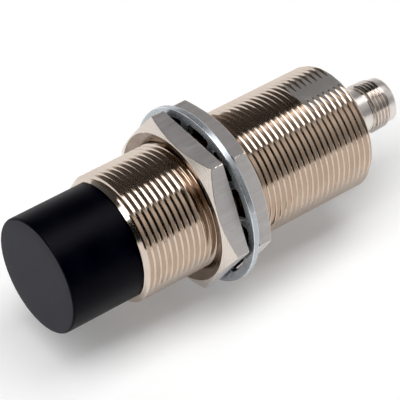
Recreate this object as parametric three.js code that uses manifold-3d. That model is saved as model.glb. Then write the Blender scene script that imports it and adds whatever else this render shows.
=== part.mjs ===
// Inductive proximity sensor, M30 x 1.5, with a protruding sensing cap, two hex nuts,
// an internal-tooth lock washer and an M12 x 1 plug connector.
//
// Frame, in millimetres: the origin is the centre of the sensing face. The barrel's axis
// is X: the face looks along -X and the connector points along +X. The barrel's wrench
// flats face +Z and -Z. Screw threads are plain cylinders at their outer diameter.

import * as THREE from 'three';
import { mergeVertices } from 'three/addons/utils/BufferGeometryUtils.js';
import Module from 'manifold-3d';

const wasm = await Module();
wasm.setup();

// ---------------------------------------------------------------- driving dimensions

const THREAD_RADIUS = 15;            // M30 x 1.5
const CAP_RADIUS = 13.5;
const CAP_LENGTH = 18;               // what protrudes ahead of the barrel
const BARREL_LENGTH = 63.6;
const BARREL_BORE = 12.95;
const FLAT_DISTANCE = 13.85;         // wrench flat to axis
const FLAT_LENGTH = 12;

const NUT_ACROSS_FLATS = 36;
const NUT_THICKNESS = 5;
const NUT_BORE = 15.25;
const NUT_DISH_RADIUS = 17.5;        // shallow turned dish on the outer face
const NUT_DISH_DEPTH = 0.7;
const FRONT_NUT_BACK = 41.05;        // clamping face of the front nut
const REAR_NUT_FRONT = 43.88;        // clamping face of the rear nut

const WASHER_RADIUS = 20.85;
const WASHER_RING_BORE = 18.7;
const WASHER_THICKNESS = 1.4;
const WASHER_REAR = 43.7;
const WASHER_TEETH = 12;

const CONNECTOR_RADIUS = 6;          // M12 x 1
const NECK_RADIUS = 5.5;
const COLLAR_RADIUS = 5.4;
const SOCKET_RADIUS = 4.35;
const SOCKET_DEPTH = 8.7;
const CONNECTOR_END = 96.9;
const THREAD_START = 89.8;           // the connector's thread, behind a plain neck
const THREAD_END = 94.6;

const PIN_RADIUS = 0.5;
const PIN_CIRCLE = 2.5;              // radius of the circle that the contacts stand on
const PIN_COUNT = 4;
const PIN_BACK = 75.5;
const PIN_TIP = CONNECTOR_END - 2;

const BOARD_START = 10.3;
const BOARD_END = 72.5;
const BOARD_HALF_WIDTH = 9.5;
const BOARD_THICKNESS = 1.2;

const FINE = 64;                     // facets round the barrel and the nuts
const MEDIUM = 40;
const COARSE = 28;
const SMALL = 10;

const barrelFront = CAP_LENGTH;
const barrelRear = CAP_LENGTH + BARREL_LENGTH;
const boardTop = BOARD_THICKNESS / 2;
const degree = Math.PI / 180;

// ---------------------------------------------------------------- materials

function finish(color, roughness, metalness) {
  return new THREE.MeshStandardMaterial({ color, roughness, metalness });
}

const finishes = {
  blackPlastic: finish(0x2b2a2e, 0.55, 0),
  nickelBrass: finish(0xc9bba9, 0.22, 1),
  nickelNut: finish(0xcfc6bd, 0.3, 1),
  zincSteel: finish(0xbfcbd0, 0.3, 1),
  insertPlastic: finish(0x1b1b1d, 0.5, 0),
  goldContact: finish(0xd9b154, 0.25, 1),
  sealRubber: finish(0x1a1a1a, 0.8, 0),
  ferrite: finish(0x3a3a3d, 0.7, 0),
  bobbinPlastic: finish(0xe4ddc8, 0.6, 0),
  copperWire: finish(0xb8693a, 0.35, 1),
  holderPlastic: finish(0x30363c, 0.6, 0),
  sleeveFilm: finish(0xc07a2c, 0.4, 0),
  boardLaminate: finish(0x1f6b3c, 0.5, 0),
  chipBody: finish(0x17171a, 0.6, 0),
  ceramicBody: finish(0xb59a72, 0.5, 0),
  tantalumBody: finish(0xd59a2c, 0.5, 0),
  lightRing: finish(0xd8d4c4, 0.3, 0),
  ledLens: finish(0xe8e6cf, 0.3, 0),
  resin: finish(0x3b3f45, 0.4, 0),
  wireBrown: finish(0x5b3a24, 0.5, 0),
  wireWhite: finish(0xe6e4de, 0.5, 0),
  wireBlue: finish(0x2d4f96, 0.5, 0),
  wireBlack: finish(0x1c1c1e, 0.5, 0),
};

// ---------------------------------------------------------------- solids

// A geometry as a manifold solid, with its shared vertices merged.
function toSolid(geometry) {
  geometry.deleteAttribute('normal');
  geometry.deleteAttribute('uv');
  const merged = mergeVertices(geometry, 1e-4);
  return new wasm.Manifold(new wasm.Mesh({
    numProp: 3,
    vertProperties: new Float32Array(merged.attributes.position.array),
    triVerts: new Uint32Array(merged.index.array),
  }));
}

function toGeometry(solid) {
  const { vertProperties, triVerts } = solid.getMesh();
  const geometry = new THREE.BufferGeometry();
  geometry.setAttribute('position', new THREE.BufferAttribute(vertProperties, 3));
  geometry.setIndex(new THREE.BufferAttribute(triVerts, 1));
  geometry.computeVertexNormals();
  return geometry;
}

// A profile of [x, radius] points turned about the X axis. It runs from the axis and back
// to it, or closes on itself, and goes along +X on its outer side.
function turned(profile, facets) {
  const points = profile.map(([x, radius]) => new THREE.Vector2(radius, x));
  return toSolid(new THREE.LatheGeometry(points, facets).rotateZ(-Math.PI / 2));
}

// A plain ring or tube between two radii.
function ring(start, end, innerRadius, outerRadius, facets) {
  const innerStart = [start, innerRadius];
  return turned([innerStart, [start, outerRadius], [end, outerRadius], [end, innerRadius], innerStart], facets);
}

// A plain rod along X, centred on the point y, z.
function rod(start, end, radius, y, z, facets = SMALL) {
  const geometry = new THREE.CylinderGeometry(radius, radius, end - start, facets);
  return toSolid(geometry.rotateZ(-Math.PI / 2).translate((start + end) / 2, y, z));
}

function block([x0, y0, z0], [x1, y1, z1]) {
  const geometry = new THREE.BoxGeometry(x1 - x0, y1 - y0, z1 - z0);
  return toSolid(geometry.translate((x0 + x1) / 2, (y0 + y1) / 2, (z0 + z1) / 2));
}

// A round wire along a smooth curve through the given points.
function wire(points, radius) {
  const curve = new THREE.CatmullRomCurve3(points.map((point) => new THREE.Vector3(...point)));
  const section = new THREE.Shape();
  section.absarc(0, 0, radius, 0, 2 * Math.PI);
  return toSolid(new THREE.ExtrudeGeometry(section, {
    extrudePath: curve,
    steps: 8,
    curveSegments: 4,
  }));
}

const sensor = new THREE.Group();

function place(name, solid, material) {
  const mesh = new THREE.Mesh(toGeometry(solid), material);
  mesh.name = name;
  sensor.add(mesh);
}

// ---------------------------------------------------------------- sensing head

const CAP_FACE = 1.2;
const CAP_CAVITY = 11.4;
const CAP_EDGE = 0.5;
const SPIGOT_END = 26;
const SPIGOT_RADIUS = 12.8;
const SEAL_GROOVE = { start: 21, end: 22.2, radius: 11.85 };

// A cup with a spigot that sits in the barrel's mouth and a groove for its seal.
function sensingCap() {
  return turned([
    [0, 0],
    [0, CAP_RADIUS - CAP_EDGE],
    [CAP_EDGE, CAP_RADIUS],
    [barrelFront - 0.05, CAP_RADIUS],
    [barrelFront - 0.05, SPIGOT_RADIUS],
    [SEAL_GROOVE.start, SPIGOT_RADIUS],
    [SEAL_GROOVE.start, SEAL_GROOVE.radius],
    [SEAL_GROOVE.end, SEAL_GROOVE.radius],
    [SEAL_GROOVE.end, SPIGOT_RADIUS],
    [SPIGOT_END, SPIGOT_RADIUS],
    [SPIGOT_END, CAP_CAVITY],
    [CAP_FACE, CAP_CAVITY],
    [CAP_FACE, 0],
  ], MEDIUM);
}

function sealRing(centre, radius, thickness) {
  const geometry = new THREE.TorusGeometry(radius, thickness / 2, 6, COARSE);
  return toSolid(geometry.rotateY(Math.PI / 2).translate(centre, 0, 0));
}

const CORE = { start: 1.5, end: 8.5, radius: 11.1, slotEnd: 6.5, slotInner: 5, slotOuter: 9, bore: 1.4 };
const HOLDER = { start: 8.8, end: 11.8 };
const COIL_LEAD = { radius: 0.28, hole: 0.6, ring: 7.2, angles: [70, 110] };

function leadPoint(angle) {
  return { y: COIL_LEAD.ring * Math.cos(angle * degree), z: COIL_LEAD.ring * Math.sin(angle * degree) };
}

// Drills the two holes that the coil's leads run through.
function drillForLeads(solid, start, end) {
  return COIL_LEAD.angles.reduce((rest, angle) => {
    const { y, z } = leadPoint(angle);
    return rest.subtract(rod(start, end, COIL_LEAD.hole, y, z));
  }, solid);
}

// A pot core that is open towards the sensing face.
function ferriteCore() {
  const core = turned([
    [CORE.start, CORE.bore],
    [CORE.start, CORE.slotInner],
    [CORE.slotEnd, CORE.slotInner],
    [CORE.slotEnd, CORE.slotOuter],
    [CORE.start, CORE.slotOuter],
    [CORE.start, CORE.radius],
    [CORE.end, CORE.radius],
    [CORE.end, CORE.bore],
    [CORE.start, CORE.bore],
  ], COARSE);
  return drillForLeads(core, CORE.slotEnd - 1, CORE.end + 1);
}

const BOBBIN = { start: 1.7, end: 6.3, inner: 5.15, core: 5.6, outer: 8.85, flange: 0.5 };

function coilBobbin() {
  const spool = turned([
    [BOBBIN.start, BOBBIN.inner],
    [BOBBIN.start, BOBBIN.outer],
    [BOBBIN.start + BOBBIN.flange, BOBBIN.outer],
    [BOBBIN.start + BOBBIN.flange, BOBBIN.core],
    [BOBBIN.end - BOBBIN.flange, BOBBIN.core],
    [BOBBIN.end - BOBBIN.flange, BOBBIN.outer],
    [BOBBIN.end, BOBBIN.outer],
    [BOBBIN.end, BOBBIN.inner],
    [BOBBIN.start, BOBBIN.inner],
  ], COARSE);
  return drillForLeads(spool, BOBBIN.end - BOBBIN.flange - 0.2, BOBBIN.end + 0.2);
}

function coilWinding() {
  const gap = 0.1;
  const start = BOBBIN.start + BOBBIN.flange + gap;
  const end = BOBBIN.end - BOBBIN.flange - gap;
  return ring(start, end, BOBBIN.core + gap, BOBBIN.outer - 3 * gap, COARSE);
}

// A disc behind the core with a pocket that grips the end of the circuit board.
function coreHolder() {
  const disc = ring(HOLDER.start, HOLDER.end, CORE.bore, CORE.radius, COARSE);
  const slack = 0.2;
  const pocket = block(
    [BOARD_START - slack, -BOARD_HALF_WIDTH - slack, -boardTop - slack],
    [HOLDER.end + 1, BOARD_HALF_WIDTH + slack, boardTop + slack],
  );
  return drillForLeads(disc.subtract(pocket), HOLDER.start - 1, HOLDER.end + 1);
}

function coilLead(angle) {
  const { y, z } = leadPoint(angle);
  const onBoard = boardTop + COIL_LEAD.radius + 0.1;
  return wire([
    [BOBBIN.end - BOBBIN.flange, y, z],
    [CORE.end, y, z],
    [HOLDER.end + 0.6, y, z],
    [HOLDER.end + 3, y, 0.6 * z],
    [HOLDER.end + 4.4, y, onBoard + 0.6],
    [HOLDER.end + 6, y, onBoard],
  ], COIL_LEAD.radius);
}

place('sensing_cap', sensingCap(), finishes.blackPlastic);
place('cap_seal_ring', sealRing((SEAL_GROOVE.start + SEAL_GROOVE.end) / 2, 12.39, 0.96), finishes.sealRubber);
place('ferrite_core', ferriteCore(), finishes.ferrite);
place('coil_bobbin', coilBobbin(), finishes.bobbinPlastic);
place('coil_winding', coilWinding(), finishes.copperWire);
place('core_holder', coreHolder(), finishes.holderPlastic);
COIL_LEAD.angles.forEach((angle, index) => {
  place(`coil_lead_${index + 1}`, coilLead(angle), finishes.copperWire);
});

// ---------------------------------------------------------------- barrel

// The threaded tube, chamfered at both ends, with two wrench flats at its rear.
function threadedBarrel() {
  const lip = 14.2;
  const chamfer = 0.6;
  const tube = turned([
    [barrelFront, BARREL_BORE],
    [barrelFront, lip],
    [barrelFront + chamfer, THREAD_RADIUS],
    [barrelRear - chamfer, THREAD_RADIUS],
    [barrelRear, lip],
    [barrelRear, BARREL_BORE],
    [barrelFront, BARREL_BORE],
  ], FINE);
  const outside = THREAD_RADIUS + 1;
  return [1, -1].reduce((rest, side) => {
    const low = side > 0 ? FLAT_DISTANCE : -outside;
    const high = side > 0 ? outside : -FLAT_DISTANCE;
    return rest.subtract(block([barrelRear - FLAT_LENGTH, -outside, low], [barrelRear + 1, outside, high]));
  }, tube);
}

place('threaded_barrel', threadedBarrel(), finishes.nickelBrass);
place('insulating_sleeve', ring(SPIGOT_END + 0.5, 73, 12.4, 12.75, COARSE), finishes.sleeveFilm);

// ---------------------------------------------------------------- nuts and washer

// A hexagonal prism along X whose flats face +Z and -Z.
function hexPrism(start, end, acrossFlats) {
  const corner = acrossFlats / Math.sqrt(3);
  const hexagon = new THREE.Shape();
  for (let k = 0; k < 6; k += 1) {
    const angle = (90 + 60 * k) * degree;
    const point = [corner * Math.cos(angle), corner * Math.sin(angle)];
    if (k === 0) hexagon.moveTo(...point);
    else hexagon.lineTo(...point);
  }
  hexagon.closePath();
  const prism = new THREE.ExtrudeGeometry(hexagon, { depth: end - start, bevelEnabled: false });
  return toSolid(prism.rotateY(Math.PI / 2).translate(start, 0, 0));
}

// A thin nut. `inner` is the x of its clamping face and `outward` the sign of the way
// that its chamfered, dished outer face looks.
function hexNut(inner, outward) {
  const outer = inner + outward * NUT_THICKNESS;
  const chamferStart = NUT_DISH_RADIUS + 0.15;
  const rim = 21.5;
  const chamferDepth = (rim - chamferStart) * Math.tan(30 * degree);
  const lead = 0.35;
  const profile = [
    [outer, NUT_DISH_RADIUS],
    [outer, chamferStart],
    [outer - outward * chamferDepth, rim],
    [inner, rim],
    [inner, NUT_BORE + lead],
    [inner + outward * lead, NUT_BORE],
    [outer - outward * NUT_DISH_DEPTH, NUT_BORE],
    [outer, NUT_DISH_RADIUS],
  ];
  if (outward > 0) profile.reverse();
  return turned(profile, FINE).intersect(hexPrism(Math.min(inner, outer), Math.max(inner, outer), NUT_ACROSS_FLATS));
}

// One tooth, twisted about its own radial axis, that reaches in to the barrel.
function washerTooth(angle) {
  const tip = 15.5;
  const root = WASHER_RING_BORE + 0.5;
  const twist = 30 * degree;
  const geometry = new THREE.BoxGeometry(1.2, 2.6, root - tip);
  geometry.rotateZ(twist).translate(0, 0, (tip + root) / 2);
  return toSolid(geometry.rotateX(angle).translate(WASHER_REAR - 1.2, 0, 0));
}

function toothedLockWasher() {
  let washer = ring(WASHER_REAR - WASHER_THICKNESS, WASHER_REAR, WASHER_RING_BORE, WASHER_RADIUS, FINE);
  for (let k = 0; k < WASHER_TEETH; k += 1) {
    washer = washer.add(washerTooth((k + 0.5) * 2 * Math.PI / WASHER_TEETH));
  }
  return washer;
}

place('front_nut', hexNut(FRONT_NUT_BACK, -1), finishes.nickelNut);
place('rear_nut', hexNut(REAR_NUT_FRONT, 1), finishes.nickelNut);
place('toothed_lock_washer', toothedLockWasher(), finishes.zincSteel);

// ---------------------------------------------------------------- circuit board

const PARTS_GAP = 0.05;

// A component on the board's top side (side 1) or bottom side (side -1).
function component(x, y, length, width, height, side = 1) {
  const near = side * (boardTop + PARTS_GAP);
  const far = near + side * height;
  return block(
    [x - length / 2, y - width / 2, Math.min(near, far)],
    [x + length / 2, y + width / 2, Math.max(near, far)],
  );
}

function circuitBoard() {
  return block([BOARD_START, -BOARD_HALF_WIDTH, -boardTop], [BOARD_END, BOARD_HALF_WIDTH, boardTop]);
}

place('circuit_board', circuitBoard(), finishes.boardLaminate);
place('control_chip', component(30, 0, 8, 8, 1.4), finishes.chipBody);
place('output_transistor', component(52, -3, 5, 4, 1.8), finishes.chipBody);
place('protection_diode', component(60, 4, 4.4, 2.6, 2.1), finishes.chipBody);
place('storage_capacitor', component(44, 4.5, 6, 3.2, 2.6), finishes.tantalumBody);
place('filter_capacitor', component(39, -5, 3.2, 1.6, 1.2), finishes.ceramicBody);
place('trim_resistor', component(22, 5, 3.2, 1.6, 0.7), finishes.chipBody);

const LED_PLACES = [[7, 1], [-7, 1], [7, -1], [-7, -1]];
LED_PLACES.forEach(([y, side], index) => {
  place(`status_led_${index + 1}`, component(BOARD_END - 1, y, 1.6, 1.6, 0.8, side), finishes.ledLens);
});

// ---------------------------------------------------------------- connector

const FLANGE = { start: 77.4, end: 79, radius: 7.4 };
const PLUG = { start: 76.6, end: barrelRear - 0.2, radius: 12.75, recess: 7.7, recessEnd: 80.2, bore: 5.7 };
const INSERT = { start: 77.8, radius: 4.2 };
const insertEnd = CONNECTOR_END - SOCKET_DEPTH;

// The metal shell: flange, plain neck, thread, end collar and the open socket.
function connectorShell() {
  const mouth = 0.3;
  const bevel = 0.9;
  return turned([
    [FLANGE.start, SOCKET_RADIUS],
    [FLANGE.start, FLANGE.radius],
    [FLANGE.end, FLANGE.radius],
    [FLANGE.end, NECK_RADIUS],
    [THREAD_START, NECK_RADIUS],
    [THREAD_START + 0.4, CONNECTOR_RADIUS],
    [THREAD_END - 0.4, CONNECTOR_RADIUS],
    [THREAD_END, COLLAR_RADIUS],
    [CONNECTOR_END - bevel, COLLAR_RADIUS],
    [CONNECTOR_END, COLLAR_RADIUS - 0.35],
    [CONNECTOR_END, SOCKET_RADIUS + mouth],
    [CONNECTOR_END - mouth, SOCKET_RADIUS],
    [FLANGE.start, SOCKET_RADIUS],
  ], MEDIUM);
}

function pinPlace(index) {
  const angle = (45 + 90 * index) * degree;
  return { y: PIN_CIRCLE * Math.cos(angle), z: PIN_CIRCLE * Math.sin(angle) };
}

// The contact carrier with its coding rib along the socket wall.
function connectorInsert() {
  const carrier = turned([
    [INSERT.start, 0],
    [INSERT.start, INSERT.radius],
    [insertEnd, INSERT.radius],
    [insertEnd, 0],
  ], COARSE);
  const rib = block([insertEnd - 1, -0.45, 3.5], [CONNECTOR_END - 1.5, 0.45, 4.1]);
  let insert = carrier.add(rib);
  for (let k = 0; k < PIN_COUNT; k += 1) {
    const { y, z } = pinPlace(k);
    insert = insert.subtract(rod(INSERT.start - 1, insertEnd + 1, PIN_RADIUS + 0.1, y, z));
  }
  return insert;
}

// A round contact with a tapered tip and a thicker solder end.
function contactPin(index) {
  const { y, z } = pinPlace(index);
  const collar = 0.75;
  const points = [
    [PIN_BACK, 0],
    [PIN_BACK, collar],
    [INSERT.start - 0.2, collar],
    [INSERT.start - 0.2, PIN_RADIUS],
    [PIN_TIP - 0.6, PIN_RADIUS],
    [PIN_TIP, PIN_RADIUS / 2],
    [PIN_TIP, 0],
  ].map(([x, radius]) => new THREE.Vector2(radius, x));
  return toSolid(new THREE.LatheGeometry(points, SMALL).rotateZ(-Math.PI / 2).translate(0, y, z));
}

// The translucent ring that closes the barrel round the connector and shows the lamps.
function indicatorRing() {
  return turned([
    [PLUG.start, PLUG.recess],
    [PLUG.start, PLUG.radius],
    [PLUG.end, PLUG.radius],
    [PLUG.end, PLUG.bore],
    [PLUG.recessEnd, PLUG.bore],
    [PLUG.recessEnd, PLUG.recess],
    [PLUG.start, PLUG.recess],
  ], COARSE);
}

const WIRE_RADIUS = 0.45;
const RESIN = { start: 73.2, end: 74.6, radius: 12.3 };

// From a pad on the board straight back to the contact's solder end.
function leadWire(index) {
  const { y, z } = pinPlace(index);
  const side = Math.sign(z);
  const onBoard = side * (boardTop + WIRE_RADIUS + 0.1);
  return wire([
    [BOARD_END - 6, y, onBoard],
    [BOARD_END - 4, y, onBoard],
    [BOARD_END - 2, y, (onBoard + z) / 2],
    [BOARD_END, y, z],
    [PIN_BACK - 0.1, y, z],
  ], WIRE_RADIUS);
}

// The resin that seals the board's chamber, cast round the four wires.
function resinPlug() {
  const disc = turned([
    [RESIN.start, 0],
    [RESIN.start, RESIN.radius],
    [RESIN.end, RESIN.radius],
    [RESIN.end, 0],
  ], COARSE);
  let plug = disc;
  for (let k = 0; k < PIN_COUNT; k += 1) {
    const { y, z } = pinPlace(k);
    plug = plug.subtract(rod(RESIN.start - 1, RESIN.end + 1, WIRE_RADIUS + 0.15, y, z));
  }
  return plug;
}

place('connector_shell', connectorShell(), finishes.nickelBrass);
place('connector_insert', connectorInsert(), finishes.insertPlastic);
place('connector_seal_ring', sealRing((FLANGE.end + PLUG.recessEnd) / 2, 6.35, 1), finishes.sealRubber);
place('indicator_ring', indicatorRing(), finishes.lightRing);
place('resin_plug', resinPlug(), finishes.resin);

const WIRE_FINISHES = [finishes.wireBrown, finishes.wireWhite, finishes.wireBlue, finishes.wireBlack];
WIRE_FINISHES.forEach((material, index) => {
  place(`contact_pin_${index + 1}`, contactPin(index), finishes.goldContact);
  place(`lead_wire_${index + 1}`, leadWire(index), material);
});

export default sensor;
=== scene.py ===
"""Looks of the M30 proximity sensor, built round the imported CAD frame.

Blender 4.5, metres, +Z up. The barrel's axis is X: the sensing face is at x = 0 and the
connector points along +X. Screw threads are right-hand.
"""
import math
from functools import partial

import bmesh
import bpy
import numpy as np
from mathutils import Matrix, Vector


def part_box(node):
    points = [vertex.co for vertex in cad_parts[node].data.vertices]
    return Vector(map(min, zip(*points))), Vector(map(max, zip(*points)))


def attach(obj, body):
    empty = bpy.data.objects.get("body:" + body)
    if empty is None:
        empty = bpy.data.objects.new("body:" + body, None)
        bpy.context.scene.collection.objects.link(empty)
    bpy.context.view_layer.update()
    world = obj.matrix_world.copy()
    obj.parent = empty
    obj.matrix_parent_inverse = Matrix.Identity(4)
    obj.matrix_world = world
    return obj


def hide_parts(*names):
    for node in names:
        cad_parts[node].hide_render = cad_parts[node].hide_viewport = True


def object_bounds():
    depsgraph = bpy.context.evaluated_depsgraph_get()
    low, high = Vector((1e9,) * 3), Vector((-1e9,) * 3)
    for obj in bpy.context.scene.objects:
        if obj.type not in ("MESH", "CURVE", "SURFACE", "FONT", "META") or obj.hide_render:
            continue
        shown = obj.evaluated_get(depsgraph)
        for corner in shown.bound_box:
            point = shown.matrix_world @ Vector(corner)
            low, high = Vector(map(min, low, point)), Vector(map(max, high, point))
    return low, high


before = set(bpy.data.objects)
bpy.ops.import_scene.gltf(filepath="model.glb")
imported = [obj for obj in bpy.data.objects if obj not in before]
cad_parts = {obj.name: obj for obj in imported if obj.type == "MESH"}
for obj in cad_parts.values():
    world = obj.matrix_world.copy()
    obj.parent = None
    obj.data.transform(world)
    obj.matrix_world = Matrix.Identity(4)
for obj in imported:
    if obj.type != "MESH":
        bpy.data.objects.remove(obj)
cad_low, cad_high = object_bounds()

MM = 0.001
TAU = 2 * math.pi


# ------------------------------------------------------------------ sizes from the frame

def span(node, axis=0):
    """Lowest and highest coordinate of a CAD node along an axis."""
    low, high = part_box(node)
    return low[axis], high[axis]


def outer_radius(node):
    low, high = span(node, axis=1)
    return (high - low) / 2


cap_front, cap_rear = span("sensing_cap")
barrel_front, barrel_rear = span("threaded_barrel")
front_nut_face, front_nut_back = span("front_nut")
rear_nut_front, rear_nut_face = span("rear_nut")
washer_rear = span("toothed_lock_washer")[1]
shell_start, shell_end = span("connector_shell")

THREAD_PITCH = 1.5 * MM
THREAD_PHASE = 0.96                 # share of a pitch that the barrel's thread is shifted
CREST_RADIUS = outer_radius("threaded_barrel") - 0.06 * MM
ROOT_RADIUS = CREST_RADIUS - 0.97 * MM
FLANK_ANGLE = math.radians(27.5)
BARREL_BORE = 12.95 * MM
FLAT_DISTANCE = 13.85 * MM
FLAT_START = barrel_rear - 12 * MM
THREAD_CLEARANCE = 0.06 * MM        # between the barrel's thread and the nuts'
THREAD_EDGE = math.radians(12)      # a threaded piece is sharp where it turns by more than this

NUT_FLAT_DISTANCE = (span("front_nut", axis=2)[1] - span("front_nut", axis=2)[0]) / 2
NUT_DISH_RADIUS = 17.5 * MM
NUT_DISH_DEPTH = 0.7 * MM
NUT_CHAMFER = math.radians(30)
NUT_REACH = 21.5 * MM               # beyond the nuts' corners

WASHER_TEETH = 12
WASHER_BORE = 18.7 * MM
WASHER_THICKNESS = 1.4 * MM
TOOTH_TIP = 15.4 * MM
TOOTH_HALF_WIDTH = 0.8 * MM
TOOTH_FILLET = 0.6 * MM
TOOTH_TWIST = math.radians(24)
TOOTH_TWIST_LENGTH = 2.2 * MM       # over which the twist grows from the ring inward

CONNECTOR_PITCH = 1.0 * MM
NECK_RADIUS = 5.5 * MM
COLLAR_RADIUS = 5.4 * MM
CONNECTOR_CREST = 5.95 * MM
CONNECTOR_DRAFT = math.tan(math.radians(1.5))
SOCKET_RADIUS = 4.35 * MM
CONNECTOR_THREAD = (89.8 * MM, 94.6 * MM)
CONNECTOR_THREAD_DEPTH = 0.58 * MM
FLANGE_RADIUS = 7.4 * MM
FLANGE_END = 79.0 * MM

PIN_COUNT = 4
PIN_RADIUS = 0.5 * MM
PIN_COLLAR = 0.75 * MM
PIN_CIRCLE = 2.5 * MM
LED_COUNT = 4


# ------------------------------------------------------------------ mesh helpers

def new_object(name, vertices, faces):
    mesh = bpy.data.meshes.new(name)
    mesh.from_pydata([tuple(v) for v in vertices], [], faces)
    mesh.validate()
    obj = bpy.data.objects.new(name, mesh)
    bpy.context.scene.collection.objects.link(obj)
    return obj


def discard(obj):
    mesh = obj.data
    bpy.data.objects.remove(obj)
    bpy.data.meshes.remove(mesh)


def apply_modifiers(obj):
    """Makes the modifiers' result the object's own mesh."""
    graph = bpy.context.evaluated_depsgraph_get()
    mesh = bpy.data.meshes.new_from_object(obj.evaluated_get(graph))
    old = obj.data
    obj.modifiers.clear()
    obj.data = mesh
    mesh.name = obj.name
    bpy.data.meshes.remove(old)


def combine(obj, tool, operation):
    """Cuts, joins or intersects obj with tool, and removes tool."""
    modifier = obj.modifiers.new(operation, "BOOLEAN")
    modifier.operation = operation
    modifier.solver = "MANIFOLD"
    modifier.object = tool
    apply_modifiers(obj)
    discard(tool)


def bevel(obj, width, angle):
    """Rounds the edges where the surface turns by more than the angle."""
    modifier = obj.modifiers.new("bevel", "BEVEL")
    modifier.width = width
    modifier.segments = 2
    modifier.limit_method = "ANGLE"
    modifier.angle_limit = angle
    apply_modifiers(obj)


def shade(obj, angle=math.radians(32)):
    """Smooth faces, with sharp edges where the surface turns by more than the angle."""
    bm = bmesh.new()
    bm.from_mesh(obj.data)
    bmesh.ops.remove_doubles(bm, verts=bm.verts, dist=1e-7)
    bmesh.ops.dissolve_degenerate(bm, edges=bm.edges, dist=1e-7)
    for face in bm.faces:
        face.smooth = True
    for edge in bm.edges:
        edge.smooth = len(edge.link_faces) == 2 and edge.calc_face_angle() < angle
    bm.to_mesh(obj.data)
    bm.free()
    return obj


def turned(name, profile, segments=160):
    """A profile of (x, radius) points turned about the X axis. Points on the axis are
    single vertices, and a profile that doesn't touch the axis closes on itself."""
    angles = np.arange(segments) * TAU / segments
    vertices = []
    rings = []
    for x, radius in profile:
        if radius < 1e-9:
            rings.append([len(vertices)] * segments)
            vertices.append((x, 0, 0))
        else:
            rings.append(list(range(len(vertices), len(vertices) + segments)))
            vertices.extend((x, radius * math.cos(a), radius * math.sin(a)) for a in angles)
    closed = profile[0][1] > 1e-9
    faces = []
    for k in range(len(rings) if closed else len(rings) - 1):
        one, two = rings[k], rings[(k + 1) % len(rings)]
        for j in range(segments):
            n = (j + 1) % segments
            corners = [one[j], one[n], two[n], two[j]]
            corners = [c for i, c in enumerate(corners) if c not in corners[:i]]
            if len(corners) > 2:
                faces.append(corners)
    return new_object(name, vertices, faces)


def arc(centre_x, centre_r, radius, start, end, steps=5):
    """Profile points on a round edge; angles in degrees, 0 along +X and 90 outward."""
    return [(centre_x + radius * math.cos(math.radians(a)), centre_r + radius * math.sin(math.radians(a)))
            for a in np.linspace(start, end, steps)]


def box(name, low, high):
    vertices = [(x, y, z) for x in (low[0], high[0]) for y in (low[1], high[1]) for z in (low[2], high[2])]
    faces = [(0, 1, 3, 2), (4, 6, 7, 5), (0, 4, 5, 1), (2, 3, 7, 6), (0, 2, 6, 4), (1, 5, 7, 3)]
    return new_object(name, vertices, faces)


def hex_prism(name, start, end, flat_distance, edge_radius=0.2 * MM):
    """A hexagonal prism along X with flats at +Z and -Z and slightly rounded corners."""
    corner = (flat_distance - edge_radius) / math.cos(math.pi / 6)
    outline = []
    for k in range(6):
        middle = math.radians(60 * k)
        for step in (-30, 30):
            a = middle + math.radians(step)
            outline.append((corner * math.cos(middle) + edge_radius * math.cos(a),
                            corner * math.sin(middle) + edge_radius * math.sin(a)))
    count = len(outline)
    vertices = [(x, y, z) for x in (start, end) for y, z in outline]
    faces = [(j, (j + 1) % count, count + (j + 1) % count, count + j) for j in range(count)]
    faces += [tuple(reversed(range(count))), tuple(range(count, 2 * count))]
    return new_object(name, vertices, faces)


def thread_profile(pitch, crest, root, top_share=0.125):
    """One pitch of a thread as (x, radius) points, with broken edges on crest and root."""
    soft = 0.03 * pitch
    top = pitch * top_share
    flank = (crest - root - 2 * soft) * math.tan(FLANK_ANGLE)
    floor_start, floor_end = top + flank, pitch - flank
    return [(0, crest - soft), (soft, crest), (top - soft, crest), (top, crest - soft),
            (floor_start, root + soft), (floor_start + soft, root),
            (floor_end - soft, root), (floor_end, root + soft)]


def threaded_rod(name, start, end, pitch, profile, phase=0.0, segments=200):
    """A closed rod with a right-hand helical thread, past start and end by up to two pitches."""
    rows_per_turn = len(profile)
    first = start - 2 * pitch + phase * pitch
    turns = math.ceil((end - first) / pitch) + 2
    offsets = np.array([x for x, radius in profile])
    radii = np.array([radius for x, radius in profile])
    row_x = (first + pitch * np.arange(turns)[:, None] + offsets[None, :]).ravel()
    row_r = np.tile(radii, turns)
    angle = np.arange(segments) * TAU / segments
    x = row_x[:, None] + pitch * angle[None, :] / TAU
    y = row_r[:, None] * np.cos(angle)[None, :]
    z = row_r[:, None] * np.sin(angle)[None, :]
    vertices = np.stack([x, y, z], axis=-1).reshape(-1, 3).tolist()
    rows = len(row_x)

    def vertex(row, column):
        if column == segments:
            return (row + rows_per_turn) * segments
        return row * segments + column

    faces = []
    for column in range(segments):
        last = rows - 1 - (rows_per_turn if column == segments - 1 else 0)
        for row in range(last):
            faces.append((vertex(row, column), vertex(row, column + 1),
                          vertex(row + 1, column + 1), vertex(row + 1, column)))
    low_loop = [vertex(0, c) for c in range(segments)]
    low_loop += [vertex(r, 0) for r in range(rows_per_turn, 0, -1)]
    high_loop = [vertex(rows - 1, c) for c in range(segments)]
    high_loop += [vertex(r, segments - 1) for r in range(rows - 2, rows - 2 - rows_per_turn, -1)]
    for loop, end_x, flip in ((low_loop, first, True), (high_loop, row_x[-1] + pitch, False)):
        centre = len(vertices)
        vertices.append((end_x, 0, 0))
        for one, two in zip(loop, loop[1:] + loop[:1]):
            faces.append((centre, two, one) if flip else (centre, one, two))
    return new_object(name, vertices, faces)


# ------------------------------------------------------------------ materials

MIX_FIRST, MIX_SECOND = 6, 7        # the colour inputs of a Mix node, and its colour output
MIX_RESULT = 2


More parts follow.
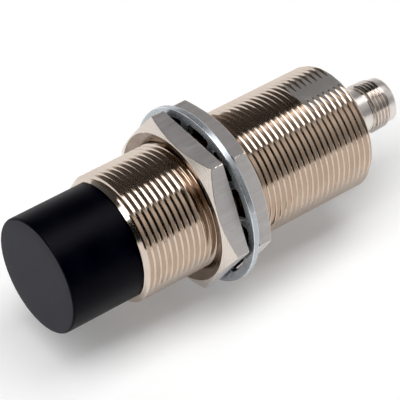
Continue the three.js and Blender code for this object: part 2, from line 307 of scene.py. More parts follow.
class Nodes:
    """A small wrapper that makes a node material read as a list of steps."""

    def __init__(self, name):
        self.material = bpy.data.materials.new(name)
        self.material.use_nodes = True
        self.tree = self.material.node_tree
        self.surface = self.tree.nodes["Principled BSDF"]
        self.point = self.add("ShaderNodeTexCoord").outputs["Object"]

    def add(self, kind, **settings):
        node = self.tree.nodes.new(kind)
        for key, value in settings.items():
            setattr(node, key, value)
        return node

    def link(self, source, target):
        self.tree.links.new(source, target)

    def value(self, target, source):
        """Sets an input to a number or colour, or links it."""
        if isinstance(source, bpy.types.NodeSocket):
            self.link(source, target)
        else:
            target.default_value = source

    def math(self, operation, one, two=0.0):
        """A sum, product or other step on two numbers or sockets."""
        node = self.add("ShaderNodeMath", operation=operation)
        self.value(node.inputs[0], one)
        self.value(node.inputs[1], two)
        return node.outputs[0]

    def stretched(self, x, y, z):
        """The object's point with each axis scaled."""
        node = self.add("ShaderNodeVectorMath", operation="MULTIPLY")
        self.link(self.point, node.inputs[0])
        node.inputs[1].default_value = (x, y, z)
        return node.outputs[0]

    def noise(self, vector, scale, detail=3.0):
        node = self.add("ShaderNodeTexNoise")
        self.link(vector, node.inputs["Vector"])
        node.inputs["Scale"].default_value = scale
        node.inputs["Detail"].default_value = detail
        node.inputs["Roughness"].default_value = 0.55
        return node.outputs["Fac"]

    def lines(self, position, scale):
        """Noise that varies along one number only, for machining and brush marks."""
        node = self.add("ShaderNodeTexNoise", noise_dimensions="1D")
        self.link(position, node.inputs["W"])
        node.inputs["Scale"].default_value = scale
        node.inputs["Detail"].default_value = 2.0
        return node.outputs["Fac"]

    def along(self, axis):
        node = self.add("ShaderNodeSeparateXYZ")
        self.link(self.point, node.inputs[0])
        return node.outputs[axis]

    def from_axis(self):
        """Distance from the barrel's axis."""
        y = self.along("Y")
        z = self.along("Z")
        return self.math("SQRT", self.math("ADD", self.math("MULTIPLY", y, y), self.math("MULTIPLY", z, z)))

    def spread(self, source, low, high):
        """Maps a noise value, which runs from about 0.3 to 0.7, to low to high."""
        node = self.add("ShaderNodeMapRange")
        self.link(source, node.inputs["Value"])
        for key, number in (("From Min", 0.3), ("From Max", 0.7), ("To Min", low), ("To Max", high)):
            node.inputs[key].default_value = number
        return node.outputs[0]

    def mix(self, factor, one, two):
        node = self.add("ShaderNodeMix", data_type="RGBA")
        self.value(node.inputs["Factor"], factor)
        self.value(node.inputs[MIX_FIRST], one)
        self.value(node.inputs[MIX_SECOND], two)
        return node.outputs[MIX_RESULT]

    def bump(self, height, distance, strength):
        node = self.add("ShaderNodeBump")
        self.link(height, node.inputs["Height"])
        node.inputs["Distance"].default_value = distance
        node.inputs["Strength"].default_value = strength
        return node.outputs[0]

    def finish(self, color, roughness, metallic=0.0, normal=None, **others):
        self.value(self.surface.inputs["Base Color"], color)
        self.value(self.surface.inputs["Roughness"], roughness)
        self.value(self.surface.inputs["Metallic"], metallic)
        if normal is not None:
            self.link(normal, self.surface.inputs["Normal"])
        for key, number in others.items():
            self.value(self.surface.inputs[key.replace("_", " ")], number)
        return self.material


NICKEL = (0.70, 0.605, 0.525, 1)
NICKEL_DULL = (0.61, 0.515, 0.44, 1)
NICKEL_BRIGHT = (0.72, 0.655, 0.60, 1)
NICKEL_GREY = (0.88, 0.845, 0.835, 1)


def turned_nickel(name, light, dark):
    """Bright nickel plating with fine turning marks round the axis."""
    n = Nodes(name)
    marks = n.lines(n.along("X"), 9000)
    patches = n.noise(n.point, 260)
    color = n.mix(n.spread(patches, 0.0, 0.5), light, dark)
    roughness = n.math("ADD", n.spread(marks, 0.05, 0.12), n.spread(patches, 0.0, 0.04))
    return n.finish(color, roughness, 1.0, n.bump(marks, 0.002 * MM, 0.6))


def satin_nickel():
    """The connector's plain neck and collar, which are blasted before they are plated."""
    n = Nodes("satin_nickel")
    grain = n.noise(n.point, 5200)
    patches = n.noise(n.point, 300)
    color = n.mix(n.spread(patches, 0.0, 0.6), (0.80, 0.745, 0.71, 1), (0.72, 0.665, 0.63, 1))
    roughness = n.spread(grain, 0.26, 0.34)
    return n.finish(color, roughness, 1.0, n.bump(grain, 0.002 * MM, 0.4))


def turned_face_nickel():
    """The nuts' faces and chamfers, with turning marks in circles."""
    n = Nodes("turned_face_nickel")
    marks = n.lines(n.from_axis(), 7000)
    patches = n.noise(n.point, 220)
    color = n.mix(n.spread(patches, 0.0, 0.35), NICKEL_BRIGHT, NICKEL)
    roughness = n.spread(marks, 0.2, 0.32)
    return n.finish(color, roughness, 1.0, n.bump(marks, 0.003 * MM, 0.5))


def painted_shade_clamp_nickel():
    """The nuts' inner faces, left dull from the saw; their near-black colour is painted shade for the deep
    gap between nut and washer.
    """
    n = Nodes("painted_shade_clamp_nickel")
    marks = n.noise(n.stretched(2000, 2000, 120), 1.0, detail=4.0)
    color = n.mix(n.spread(marks, 0.0, 0.7), (0.10, 0.09, 0.083, 1), (0.06, 0.053, 0.05, 1))
    return n.finish(color, n.spread(marks, 0.4, 0.55), 1.0, n.bump(marks, 0.02 * MM, 0.5))


def painted_shade_dish_nickel():
    """The shallow dish and the nut's own thread, coloured dark brown as painted shade in the recess round
    the barrel.
    """
    n = Nodes("painted_shade_dish_nickel")
    marks = n.lines(n.from_axis(), 6000)
    patches = n.noise(n.point, 300)
    color = n.mix(n.spread(patches, 0.0, 1.0), (0.33, 0.26, 0.21, 1), (0.25, 0.19, 0.155, 1))
    return n.finish(color, n.spread(marks, 0.16, 0.28), 1.0, n.bump(marks, 0.004 * MM, 0.5))


def burred_nickel():
    """The nuts' corners, with small burrs that catch the light in ticks."""
    n = Nodes("burred_nickel")
    burrs = n.noise(n.point, 1600, detail=2.0)
    color = n.mix(n.spread(burrs, 0.0, 0.8), NICKEL_BRIGHT, NICKEL_DULL)
    return n.finish(color, n.spread(burrs, 0.1, 0.25), 1.0, n.bump(burrs, 0.12 * MM, 0.8))


def brushed_nickel():
    """The nuts' flats, with drawn marks along the axis."""
    n = Nodes("brushed_nickel")
    marks = n.noise(n.stretched(110, 3600, 3600), 1.0, detail=4.0)
    broad = n.noise(n.stretched(40, 700, 700), 1.0)
    shade_by = n.math("ADD", n.spread(broad, 0.0, 0.35), n.spread(marks, 0.0, 0.45))
    color = n.mix(shade_by, NICKEL_GREY, (0.66, 0.61, 0.59, 1))
    roughness = n.spread(marks, 0.27, 0.39)
    return n.finish(color, roughness, 1.0, n.bump(marks, 0.012 * MM, 0.5))


def milled_nickel():
    """The barrel's wrench flats, with milling marks across the axis."""
    n = Nodes("milled_nickel")
    marks = n.noise(n.stretched(2600, 90, 2600), 1.0, detail=4.0)
    color = n.mix(n.spread(marks, 0.0, 0.8), (0.60, 0.57, 0.55, 1), (0.44, 0.41, 0.39, 1))
    roughness = n.spread(marks, 0.28, 0.4)
    return n.finish(color, roughness, 1.0, n.bump(marks, 0.015 * MM, 0.5))


def zinc(name, light, dark, low, high, metallic):
    """Zinc plating with a bluish passivation: cloudy colour and a fine grain."""
    n = Nodes(name)
    cloud = n.noise(n.point, 180)
    grain = n.noise(n.point, 1500, detail=5.0)
    color = n.mix(n.spread(cloud, 0.0, 1.0), dark, light)
    return n.finish(color, n.spread(grain, low, high), metallic, n.bump(grain, 0.002 * MM, 0.5))


def black_plastic(name, color, other, roughness):
    """Matt moulded plastic with a fine grain."""
    n = Nodes(name)
    grain = n.noise(n.point, 3200, detail=4.0)
    cloud = n.noise(n.point, 120)
    tint = n.mix(n.spread(cloud, 0.0, 1.0), color, other)
    rough = n.math("ADD", n.spread(grain, roughness, roughness + 0.1), n.spread(cloud, 0.0, 0.05))
    return n.finish(tint, rough, 0.0, n.bump(grain, 0.006 * MM, 0.5), IOR=1.16)


def moulded(name, color, other, roughness=0.5, grain_depth=0.006 * MM, **others):
    """A plain plastic, rubber, ceramic or resin with cloudy colour and a fine grain."""
    n = Nodes(name)
    grain = n.noise(n.point, 2600, detail=4.0)
    cloud = n.noise(n.point, 300)
    tint = n.mix(n.spread(cloud, 0.0, 1.0), color, other)
    rough = n.spread(grain, roughness - 0.06, roughness + 0.06)
    return n.finish(tint, rough, 0.0, n.bump(grain, grain_depth, 0.5), **others)


def gold():
    n = Nodes("gold_contact")
    marks = n.lines(n.along("X"), 12000)
    color = n.mix(n.spread(marks, 0.0, 1.0), (0.83, 0.58, 0.24, 1), (0.90, 0.68, 0.34, 1))
    return n.finish(color, n.spread(marks, 0.16, 0.3), 1.0, n.bump(marks, 0.002 * MM, 0.5))


def copper_winding():
    """Enamelled wire, wound in fine turns about the axis."""
    n = Nodes("copper_winding")
    turns = n.add("ShaderNodeTexWave", wave_type="BANDS", bands_direction="X")
    n.link(n.point, turns.inputs["Vector"])
    turns.inputs["Scale"].default_value = 900
    turns.inputs["Distortion"].default_value = 0.4
    color = n.mix(turns.outputs["Fac"], (0.30, 0.09, 0.03, 1), (0.68, 0.27, 0.12, 1))
    return n.finish(color, 0.3, 0.9, n.bump(turns.outputs["Fac"], 0.08 * MM, 0.8))


def board_laminate():
    """Green solder mask over a faint pattern of copper tracks."""
    n = Nodes("board_laminate")
    tracks = n.add("ShaderNodeTexBrick")
    n.link(n.point, tracks.inputs["Vector"])
    tracks.inputs["Scale"].default_value = 260
    tracks.inputs["Mortar Size"].default_value = 0.06
    color = n.mix(tracks.outputs["Fac"], (0.015, 0.14, 0.05, 1), (0.04, 0.26, 0.10, 1))
    grain = n.noise(n.point, 2000)
    return n.finish(color, n.spread(grain, 0.25, 0.4), 0.0, n.bump(tracks.outputs["Fac"], 0.03 * MM, 0.6))


# ------------------------------------------------------------------ pieces

def assign_by(obj, materials, choose):
    """Gives every face the material whose index choose(face) returns."""
    obj.data.materials.clear()
    for material in materials:
        obj.data.materials.append(material)
    for polygon in obj.data.polygons:
        polygon.material_index = choose(polygon)


def assign_one(obj, material):
    assign_by(obj, [material], lambda face: 0)


def settle(obj, body, slot, *nodes):
    """Puts a finished piece on its body, in place of the CAD nodes it stands for."""
    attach(obj, body)
    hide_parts(*nodes)


def make_cap(materials):
    """The plastic cup over the coil: a rounded front edge and a spigot inside the barrel."""
    radius = outer_radius("sensing_cap")
    edge = 0.55 * MM
    spigot = 12.8 * MM
    wall = 1.4 * MM
    floor = cap_front + 1.2 * MM
    seat = barrel_front - 0.02 * MM
    spigot_edge = 0.4 * MM
    profile = [(cap_front, 0), (cap_front, radius * 0.35), (cap_front, radius * 0.7)]
    profile += arc(cap_front + edge, radius - edge, edge, 180, 90, 7)
    profile += [(barrel_front - 1.5 * MM, radius), (seat, radius), (seat, spigot),
                (cap_rear - spigot_edge, spigot), (cap_rear, spigot - spigot_edge),
                (cap_rear, spigot - wall), (floor, spigot - wall), (floor, 0)]
    cap = shade(turned("sensing_cap_shell", profile, 192))

    def choose(face):
        """The sensing face is coloured a little greyer and made rougher than the moulded side; the lighter
        grey is painted light for the pale floor it reflects.
        """
        return 1 if face.normal.x < -0.99 and face.center.x < cap_front + edge / 2 else 0

    assign_by(cap, [materials["black_plastic"], materials["painted_light_face_plastic"]], choose)
    settle(cap, "sensor", "black_plastic", "sensing_cap")


def make_barrel(materials):
    """The threaded tube, chamfered at both ends, with two wrench flats at its rear."""
    profile = thread_profile(THREAD_PITCH, CREST_RADIUS, ROOT_RADIUS)
    barrel = threaded_rod("barrel_with_thread", barrel_front, barrel_rear, THREAD_PITCH, profile,
                          THREAD_PHASE)
    lip = ROOT_RADIUS - 0.05 * MM
    reach = CREST_RADIUS + 0.3 * MM
    chamfer = reach - lip
    envelope = turned("envelope", [
        (barrel_front, BARREL_BORE), (barrel_front, lip), (barrel_front + chamfer, reach),
        (barrel_rear - chamfer, reach), (barrel_rear, lip), (barrel_rear, BARREL_BORE)], 240)
    combine(barrel, envelope, "INTERSECT")
    outside = CREST_RADIUS + 2 * MM
    for side in (1, -1):
        low, high = sorted((side * FLAT_DISTANCE, side * outside))
        cutter = box("cutter", (FLAT_START, -outside, low), (barrel_rear + MM, outside, high))
        combine(barrel, cutter, "DIFFERENCE")
    shade(barrel, THREAD_EDGE)

    def choose(face):
        """The wrench flats are milled and the rest is turned."""
        on_flat = abs(face.normal.z) > 0.999 and abs(abs(face.center.z) - FLAT_DISTANCE) < 0.01 * MM
        return 1 if on_flat else 0

    assign_by(barrel, [materials["turned_nickel"], materials["milled_nickel"]], choose)
    settle(barrel, "sensor", "nickel_brass", "threaded_barrel")


def make_nut(name, node, body, inner, outer, materials):
    """A thin hex nut with a 30 degree chamfer and a shallow dish on its outer face and a
    thread that meshes with the barrel's."""
    way = 1 if outer > inner else -1
    low, high = min(inner, outer), max(inner, outer)
    land = 0.12 * MM
    start = NUT_DISH_RADIUS + land
    depth = (NUT_REACH - start) * math.tan(NUT_CHAMFER)
    bore = ROOT_RADIUS - 1 * MM
    lead = CREST_RADIUS + 0.3 * MM
    slope = lead - bore
    profile = [(inner, lead), (inner, NUT_REACH), (outer - way * depth, NUT_REACH), (outer, start),
               (outer, NUT_DISH_RADIUS), (outer - way * NUT_DISH_DEPTH, CREST_RADIUS + land),
               (outer - way * (NUT_DISH_DEPTH + slope), bore), (inner + way * slope, bore)]
    if way < 0:
        profile.reverse()
    nut = hex_prism(name, low, high, NUT_FLAT_DISTANCE)
    combine(nut, turned("envelope", profile, 240), "INTERSECT")
    bevel(nut, 0.24 * MM, math.radians(42))
    cut = thread_profile(THREAD_PITCH, CREST_RADIUS + THREAD_CLEARANCE, ROOT_RADIUS + THREAD_CLEARANCE)
    cut_start, cut_end = low - 2 * MM, high + 2 * MM
    rod = threaded_rod("cutter", cut_start, cut_end, THREAD_PITCH, cut, nut_phase(cut_start))
    combine(nut, rod, "DIFFERENCE")
    shade(nut, THREAD_EDGE)
    finishes = ["turned_face_nickel", "brushed_nickel", "painted_shade_clamp_nickel", "painted_shade_dish_nickel", "burred_nickel",
                "turned_nickel"]

    def choose(face):
        """The finish by where the face is and which way it looks."""
        # Faces towards the washer get the near-black painted shade of the gap.
        if face.normal.x * way < -0.99:
            return finishes.index("painted_shade_clamp_nickel")
        # Faces inside the dish radius are darkened as painted shade for the recess.
        if math.hypot(face.center.y, face.center.z) < NUT_DISH_RADIUS:
            return finishes.index("painted_shade_dish_nickel")
        round_x = math.degrees(math.atan2(face.normal.z, face.normal.y))
        off_flat = abs((round_x + 60) % 60 - 30)
        if abs(face.normal.x) < 0.05:
            return finishes.index("brushed_nickel" if off_flat < 5 else "burred_nickel")
        return finishes.index("turned_face_nickel" if abs(face.normal.x) > 0.8 else "turned_nickel")

    assign_by(nut, [materials[finish] for finish in finishes], choose)
    settle(nut, body, "nickel_nut", node)


def nut_phase(start):
    """The phase that puts a cutter's thread, begun at start, in line with the barrel's."""
    return ((barrel_front - start) / THREAD_PITCH + THREAD_PHASE) % 1.0


def tooth_half_width(radius):
    """A tooth's half width, flared where it runs into the ring."""
    depth = min(WASHER_BORE - radius, TOOTH_FILLET)
    flare = TOOTH_FILLET - math.sqrt(max(0.0, TOOTH_FILLET ** 2 - (TOOTH_FILLET - depth) ** 2))
    return TOOTH_HALF_WIDTH + 0.12 * (radius - TOOTH_TIP) + flare


def tooth_lift(radius, offset):
    """How far the twist moves a tooth's point along the axis."""
    share = min(1.0, max(0.0, (WASHER_BORE - radius) / TOOTH_TWIST_LENGTH))
    return math.tan(TOOTH_TWIST) * offset * share * share * (3 - 2 * share)


def grid_faces(vertex_at, rows, columns, turned_over):
    """The faces between neighbouring vertices of a grid."""
    faces = []
    for row in range(rows):
        for column in range(columns):
            face = [vertex_at(row, column), vertex_at(row, column + 1),
                    vertex_at(row + 1, column + 1), vertex_at(row + 1, column)]
            faces.append(face[::-1] if turned_over else face)
    return faces


def make_washer(materials):
    """A flat ring with teeth on its bore, each twisted about its own radial axis."""
    rim = outer_radius("toothed_lock_washer")
    ring_radii = [WASHER_BORE, WASHER_BORE + 0.5 * MM, rim - 0.5 * MM, rim]
    tooth_radii = [TOOTH_TIP, TOOTH_TIP + 0.8 * MM, TOOTH_TIP + 1.6 * MM, TOOTH_TIP + 2.2 * MM,
                   WASHER_BORE - 0.75 * MM, WASHER_BORE - 0.45 * MM, WASHER_BORE - 0.2 * MM]
    pitch_angle = TAU / WASHER_TEETH
    root_angle = tooth_half_width(WASHER_BORE) / WASHER_BORE
    across = np.linspace(-1, 1, 7)
    in_gap = np.linspace(root_angle, pitch_angle - root_angle, 9)[1:-1]
    columns = [*(across * root_angle), *in_gap]
    vertices = []
    index = {}

    def vertex(side, tooth, row, column, lift, radius, angle):
        """The number of a vertex, which is made the first time it is asked for."""
        key = side, tooth, row, column
        if key not in index:
            index[key] = len(vertices)
            x = washer_rear - WASHER_THICKNESS / 2 + side * WASHER_THICKNESS / 2 + lift
            around = (tooth + 0.5) * pitch_angle + angle
            vertices.append((x, radius * math.cos(around), radius * math.sin(around)))
        return index[key]

    def ring_vertex(side, tooth, row, column):
        further, column = divmod(column, len(columns))
        tooth = (tooth + further) % WASHER_TEETH
        return vertex(side, tooth, row, column, 0, ring_radii[row], columns[column])

    def tooth_vertex(side, tooth, row, column):
        if row == len(tooth_radii):
            return ring_vertex(side, tooth, 0, column)
        radius = tooth_radii[row]
        offset = across[column] * tooth_half_width(radius)
        return vertex(side, tooth, row - len(tooth_radii), column, tooth_lift(radius, offset), radius,
                      offset / radius)

    faces = []
    for tooth in range(WASHER_TEETH):
        for side in (-1, 1):
            on_ring = partial(ring_vertex, side, tooth)
            on_tooth = partial(tooth_vertex, side, tooth)
            faces += grid_faces(on_ring, len(ring_radii) - 1, len(columns), side > 0)
            faces += grid_faces(on_tooth, len(tooth_radii), len(across) - 1, side > 0)
    washer = new_object("lock_washer_with_teeth", vertices, faces)
    close_sides(washer)
    bevel(washer, 0.18 * MM, math.radians(50))
    shade(washer, math.radians(20))

    def choose(face):
        """The broken edges are coloured brighter than the faces: partly rubbed wear, partly a painted
        highlight along the rim.
        """
        return 1 if face.area < 0.2 * MM ** 2 and 0.3 < abs(face.normal.x) < 0.93 else 0

    assign_by(washer, [materials["zinc"], materials["rubbed_zinc_painted_highlight"]], choose)
    settle(washer, "washer", "zinc_steel", "toothed_lock_washer")


def close_sides(obj):
    """Joins the open edges of two matching sheets with a wall."""
    def place(vertex):
        return round(vertex.co.y, 7), round(vertex.co.z, 7)

    bm = bmesh.new()
    bm.from_mesh(obj.data)
    open_edges = [edge for edge in bm.edges if len(edge.link_faces) == 1]
    pairs = {}
    for vertex in bm.verts:
        pairs.setdefault(place(vertex), []).append(vertex)
    done = set()
    for edge in open_edges:
        one, two = edge.verts
        key = frozenset((place(one), place(two)))
        if key in done:
            continue
        done.add(key)
        beyond_one = next(v for v in pairs[place(one)] if v is not one)
        beyond_two = next(v for v in pairs[place(two)] if v is not two)
        bm.faces.new((one, two, beyond_two, beyond_one))
    bmesh.ops.recalc_face_normals(bm, faces=bm.faces)
    bm.to_mesh(obj.data)
    bm.free()


def make_shell(materials):
    """The M12 shell: flange and neck, the threaded stretch and the plain end collar."""
    start, end = CONNECTOR_THREAD
    crest = CONNECTOR_CREST
    root = crest - CONNECTOR_THREAD_DEPTH
    beyond = crest + 0.2 * MM
    shell = threaded_rod("connector_shell_with_thread", start, end, CONNECTOR_PITCH,
                         thread_profile(CONNECTOR_PITCH, crest, root, 0.3), 0.2, 128)
    run_out = beyond - root
    combine(shell, turned("envelope", [
        (start, 0), (start, root), (start + run_out, beyond),
        (end - run_out, beyond), (end, root), (end, 0)], 128), "INTERSECT")
    for vertex in shell.data.vertices:
        narrowing = 1 - CONNECTOR_DRAFT * (vertex.co.x - start) / crest
        vertex.co.y *= narrowing
        vertex.co.z *= narrowing
    neck_end = NECK_RADIUS - CONNECTOR_DRAFT * (start - FLANGE_END)
    collar_end = COLLAR_RADIUS - CONNECTOR_DRAFT * (shell_end - end)
    edge = 0.7 * MM
    overlap = 0.1 * MM
    profile = [(shell_start, 0), (shell_start, FLANGE_RADIUS), (FLANGE_END, FLANGE_RADIUS),
               (FLANGE_END, NECK_RADIUS), (start - 1.5 * overlap, neck_end),
               (start + overlap, root - overlap), (end - overlap, root - 2 * overlap),
               (end + overlap, COLLAR_RADIUS)]
    profile += arc(shell_end - edge, collar_end - edge, edge, 90, 20, 6)
    profile += [(shell_end, collar_end - edge), (shell_end, 0)]
    combine(shell, turned("body", profile, 128), "UNION")
    mouth = 0.45 * MM
    past_end = shell_end + overlap
    bore = turned("bore", [
        (shell_start - MM, 0), (shell_start - MM, SOCKET_RADIUS), (past_end - mouth, SOCKET_RADIUS),
        (past_end, SOCKET_RADIUS + mouth), (past_end, 0)], 128)
    combine(shell, bore, "DIFFERENCE")
    shade(shell, THREAD_EDGE)

    def choose(face):
        """The thread is bright, and the plain neck and collar are satin."""
        return 0 if start - 0.1 * MM < face.center.x < end - 0.05 * MM else 1

    assign_by(shell, [materials["shell_nickel"], materials["satin_nickel"]], choose)
    settle(shell, "sensor", "nickel_brass", "connector_shell")


def make_indicator_ring(materials):
    """The translucent ring that closes the barrel round the connector's flange."""
    start, end = span("indicator_ring")
    bore, recess = 5.7 * MM, 7.7 * MM
    recess_end = end - 1.2 * MM
    radius = BARREL_BORE - 0.03 * MM
    edge = 0.25 * MM
    profile = [(start, recess), (start, radius)]
    profile += arc(end - edge, radius - edge, edge, 90, 0)
    profile += arc(end - edge, bore + edge, edge, 0, -90)
    profile += [(recess_end, bore), (recess_end, recess)]
    ring = shade(turned("indicator_ring_with_edges", profile, 128))
    assign_one(ring, materials["light_ring"])
    settle(ring, "sensor", "light_ring", "indicator_ring")


def make_pin(number, materials):
    """A round contact with a rounded nose and a thicker solder end."""
    node = f"contact_pin_{number}"
    start, end = span(node)
    shoulder = span("connector_insert")[0] - 0.2 * MM
    edge, nose = 0.1 * MM, 0.4 * MM
    profile = [(start, 0), (start, PIN_COLLAR - edge), (start + edge, PIN_COLLAR),
               (shoulder - edge, PIN_COLLAR), (shoulder, PIN_RADIUS)]
    profile += arc(end - nose, PIN_RADIUS - nose, nose, 90, 0, 6)
    profile += [(end, 0)]
    pin = turned(f"{node}_with_nose", profile, 32)
    angle = math.radians(45 + 90 * (number - 1))
    place = (0, PIN_CIRCLE * math.cos(angle), PIN_CIRCLE * math.sin(angle))
    pin.data.transform(Matrix.Translation(place))
    shade(pin)
    assign_one(pin, materials["gold"])
    settle(pin, "sensor", "gold_contact", node)


def dress_cad_nodes(materials):
    """The inner pieces keep their CAD shape and get a finish each."""
    finishes = {
        "cap_seal_ring": "rubber", "connector_seal_ring": "rubber", "ferrite_core": "ferrite",
        "coil_bobbin": "natural_plastic", "coil_winding": "copper_winding", "core_holder": "dark_plastic",
        "coil_lead_1": "copper_winding", "coil_lead_2": "copper_winding",
        "insulating_sleeve": "amber_film", "circuit_board": "board_laminate",
        "control_chip": "chip", "output_transistor": "chip", "protection_diode": "chip",
        "trim_resistor": "chip", "storage_capacitor": "tantalum", "filter_capacitor": "ceramic",
        "resin_plug": "resin", "connector_insert": "black_plastic",
        "lead_wire_1": "brown_wire", "lead_wire_2": "white_wire", "lead_wire_3": "blue_wire",
        "lead_wire_4": "black_wire"}
    for number in range(1, LED_COUNT + 1):
        finishes[f"status_led_{number}"] = "led_lens"
    for node, finish in finishes.items():
        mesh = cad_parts[node].data
        mesh.materials.clear()
        mesh.materials.append(materials[finish])


def make_materials():
    return {
        "turned_nickel": turned_nickel("turned_nickel", NICKEL, NICKEL_DULL),
        "satin_nickel": satin_nickel(),
        "shell_nickel": turned_nickel("shell_nickel", (0.70, 0.635, 0.595, 1), (0.60, 0.54, 0.50, 1)),
        "turned_face_nickel": turned_face_nickel(),
        "brushed_nickel": brushed_nickel(),
        # The nuts' inner faces and their dish and thread are coloured dark as painted shade.
        "painted_shade_clamp_nickel": painted_shade_clamp_nickel(),
        "painted_shade_dish_nickel": painted_shade_dish_nickel(),
        "burred_nickel": burred_nickel(),
        "milled_nickel": milled_nickel(),
        "zinc": zinc("blue_zinc", (0.52, 0.555, 0.59, 1), (0.44, 0.475, 0.51, 1), 0.25, 0.33, 0.78),
        # The washer's edge zinc is partly rubbed wear and partly a painted highlight.
        "rubbed_zinc_painted_highlight": zinc("rubbed_zinc_painted_highlight", (0.74, 0.77, 0.80, 1), (0.62, 0.65, 0.69, 1), 0.15, 0.3, 1.0),
        "black_plastic": black_plastic("black_plastic", (0.003, 0.003, 0.005, 1),
                                       (0.005, 0.005, 0.008, 1), 0.34),
        # The sensing face's lighter grey is painted light for the reflected floor.
        "painted_light_face_plastic": black_plastic("painted_light_face_plastic", (0.031, 0.030, 0.037, 1),
                                        (0.040, 0.038, 0.046, 1), 0.42),
        "gold": gold(),
        "copper_winding": copper_winding(),
        "board_laminate": board_laminate(),
        "rubber": moulded("seal_rubber", (0.01, 0.01, 0.01, 1), (0.02, 0.02, 0.02, 1), 0.7),
        "ferrite": moulded("ferrite", (0.035, 0.035, 0.038, 1), (0.06, 0.06, 0.062, 1), 0.65),
        "natural_plastic": moulded("natural_plastic", (0.70, 0.64, 0.50, 1), (0.78, 0.73, 0.6, 1), 0.5),
        "dark_plastic": moulded("dark_plastic", (0.03, 0.037, 0.045, 1), (0.04, 0.05, 0.06, 1), 0.5),
        "amber_film": moulded("amber_film", (0.5, 0.2, 0.03, 1), (0.6, 0.27, 0.05, 1), 0.3),
        "chip": moulded("chip_body", (0.012, 0.012, 0.014, 1), (0.02, 0.02, 0.022, 1), 0.5),
        "tantalum": moulded("tantalum_body", (0.62, 0.3, 0.03, 1), (0.7, 0.36, 0.05, 1), 0.4),
        "ceramic": moulded("ceramic_body", (0.45, 0.32, 0.18, 1), (0.52, 0.38, 0.23, 1), 0.45),
        "resin": moulded("resin", (0.03, 0.035, 0.04, 1), (0.05, 0.055, 0.06, 1), 0.3),
        "light_ring": moulded("light_ring", (0.74, 0.72, 0.64, 1), (0.79, 0.77, 0.70, 1), 0.35, 0.001 * MM,
                              Transmission_Weight=0.2),
        "led_lens": moulded("led_lens", (0.85, 0.83, 0.65, 1), (0.9, 0.88, 0.75, 1), 0.25),
        "brown_wire": moulded("brown_wire", (0.12, 0.05, 0.02, 1), (0.15, 0.065, 0.03, 1), 0.45),
        "white_wire": moulded("white_wire", (0.75, 0.74, 0.7, 1), (0.82, 0.81, 0.78, 1), 0.45),
        "blue_wire": moulded("blue_wire", (0.02, 0.07, 0.32, 1), (0.03, 0.09, 0.38, 1), 0.45),
        "black_wire": moulded("black_wire", (0.012, 0.012, 0.013, 1), (0.02, 0.02, 0.02, 1), 0.45),
    }


# ------------------------------------------------------------------ stage, light, camera

def make_floor():
    """A wide pale floor, just under the lowest point of the object."""
    half = 6.0
    height = cad_low[2] - 0.05 * MM
    cells = 12
    step = 2 * half / cells
    row = cells + 1
    vertices = [(-half + i * step, -half + j * step, height) for j in range(row) for i in range(row)]
    faces = [(j * row + i, j * row + i + 1, (j + 1) * row + i + 1, (j + 1) * row + i)
             for j in range(cells) for i in range(cells)]
    floor = new_object("floor", vertices, faces)
    n = Nodes("pale_floor")
    n.finish((0.86, 0.86, 0.86, 1), 0.85, Emission_Color=(1, 1, 1, 1), Emission_Strength=0.19)
    floor.data.materials.append(n.material)


STRIP_POWER = 3.6                   # the strip light's level, which all other levels are shares of


def ramp(tree, source, stops, highest=1.0):
    """A colour ramp of greys through (position, level) stops; levels may go up to highest."""
    node = tree.nodes.new("ShaderNodeValToRGB")
    tree.links.new(source, node.inputs[0])
    elements = node.color_ramp.elements
    elements.remove(elements[-1])
    for number, (position, level) in enumerate(stops):
        element = elements[0] if number == 0 else elements.new(position)
        element.position = position
        grey = level / highest
        element.color = (grey, grey, grey, 1)
    return node.outputs["Color"]


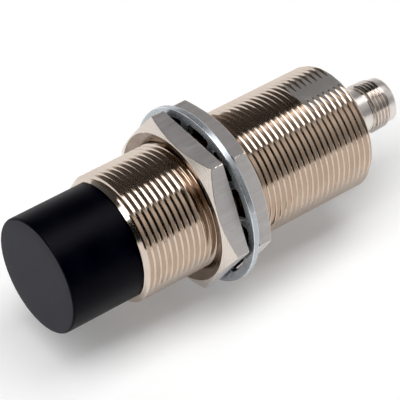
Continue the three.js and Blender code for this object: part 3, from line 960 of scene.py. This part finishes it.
def make_light():
    """A soft studio as the world. A long strip hangs over the object, a large panel stands
    in front on the right, and a white sweep runs round the horizon. The rest is dark."""
    world = bpy.data.worlds.new("studio")
    bpy.context.scene.world = world
    world.use_nodes = True
    tree = world.node_tree
    background = tree.nodes["Background"]
    coordinate = tree.nodes.new("ShaderNodeTexCoord")
    split = tree.nodes.new("ShaderNodeSeparateXYZ")
    tree.links.new(coordinate.outputs["Generated"], split.inputs[0])
    angle = tree.nodes.new("ShaderNodeMath")
    angle.operation = "ARCTAN2"
    tree.links.new(split.outputs["Z"], angle.inputs[0])
    tree.links.new(split.outputs["Y"], angle.inputs[1])
    turn = tree.nodes.new("ShaderNodeMath")
    turn.operation = "DIVIDE"
    turn.inputs[1].default_value = math.pi
    tree.links.new(angle.outputs[0], turn.inputs[0])

    def round_axis(*stops):
        """Light by the angle round the X axis, from 0 behind over 90 above to 180 in front."""
        return ramp(tree, turn.outputs[0], [(degrees / 180, level) for degrees, level in stops], STRIP_POWER)

    left = round_axis((0, 0.3), (25, 0.10), (52, 0.06), (71, 0.02), (75, STRIP_POWER),
                      (104, STRIP_POWER), (108, 0.015), (180, 0.015))
    right = round_axis((0, 0.9), (27, 0.7), (41, 0.5), (55, 0.22), (68, 0.05), (85, 0.03), (104, 0.12),
                       (112, 0.85), (126, 0.92), (140, 0.63), (154, 0.45), (180, 0.43))
    side = ramp(tree, split.outputs["X"], [(0.535, 0), (0.565, 1)])
    sides = tree.nodes.new("ShaderNodeMix")
    sides.data_type = "RGBA"
    for source, socket in ((side, "Factor"), (left, MIX_FIRST), (right, MIX_SECOND)):
        tree.links.new(source, sides.inputs[socket])
    horizon = ramp(tree, split.outputs["Z"], [(0.06, 1), (0.10, 0)])
    whole = tree.nodes.new("ShaderNodeMix")
    whole.data_type = "RGBA"
    sweep = 1.0 / STRIP_POWER
    whole.inputs[MIX_SECOND].default_value = (sweep, sweep, sweep, 1)
    tree.links.new(horizon, whole.inputs["Factor"])
    tree.links.new(sides.outputs[MIX_RESULT], whole.inputs[MIX_FIRST])
    tree.links.new(whole.outputs[MIX_RESULT], background.inputs["Color"])
    background.inputs["Strength"].default_value = STRIP_POWER


def make_camera():
    """The photograph's view: a long lens from the front left and above, slightly rolled."""
    azimuth, elevation, roll = math.radians(-40.03), math.radians(43.88), math.radians(2.84)
    distance = 546.2 * MM
    aim = Vector((43.96, 0.0, -2.38)) * MM
    right = Vector((math.cos(azimuth), math.sin(azimuth), 0))
    back = Vector((math.sin(azimuth) * math.cos(elevation), -math.cos(azimuth) * math.cos(elevation),
                   math.sin(elevation)))
    up = back.cross(right)
    rolled_right = right * math.cos(roll) + up * math.sin(roll)
    rolled_up = up * math.cos(roll) - right * math.sin(roll)
    camera = bpy.data.objects.new("camera", bpy.data.cameras.new("camera"))
    bpy.context.scene.collection.objects.link(camera)
    turn = Matrix((rolled_right, rolled_up, back)).transposed().to_4x4()
    camera.matrix_world = Matrix.Translation(aim + back * distance) @ turn
    camera.data.sensor_width = 36
    camera.data.lens = 223.6
    camera.data.clip_start = 0.01
    camera.data.clip_end = 50
    bpy.context.scene.camera = camera


def set_view():
    """Plain colours, with the very darkest tones taken down to black."""
    view = bpy.context.scene.view_settings
    view.view_transform = "Standard"
    view.use_curve_mapping = True
    view.curve_mapping.black_level = (0.005, 0.005, 0.005)
    view.curve_mapping.update()


make_camera()
make_floor()
make_light()
set_view()

library = make_materials()
make_cap(library)
make_barrel(library)
make_nut("front_nut_with_thread", "front_nut", "front_nut", front_nut_back, front_nut_face, library)
make_nut("rear_nut_with_thread", "rear_nut", "rear_nut", rear_nut_front, rear_nut_face, library)
make_washer(library)
make_shell(library)
make_indicator_ring(library)
for number in range(1, PIN_COUNT + 1):
    make_pin(number, library)
dress_cad_nodes(library)
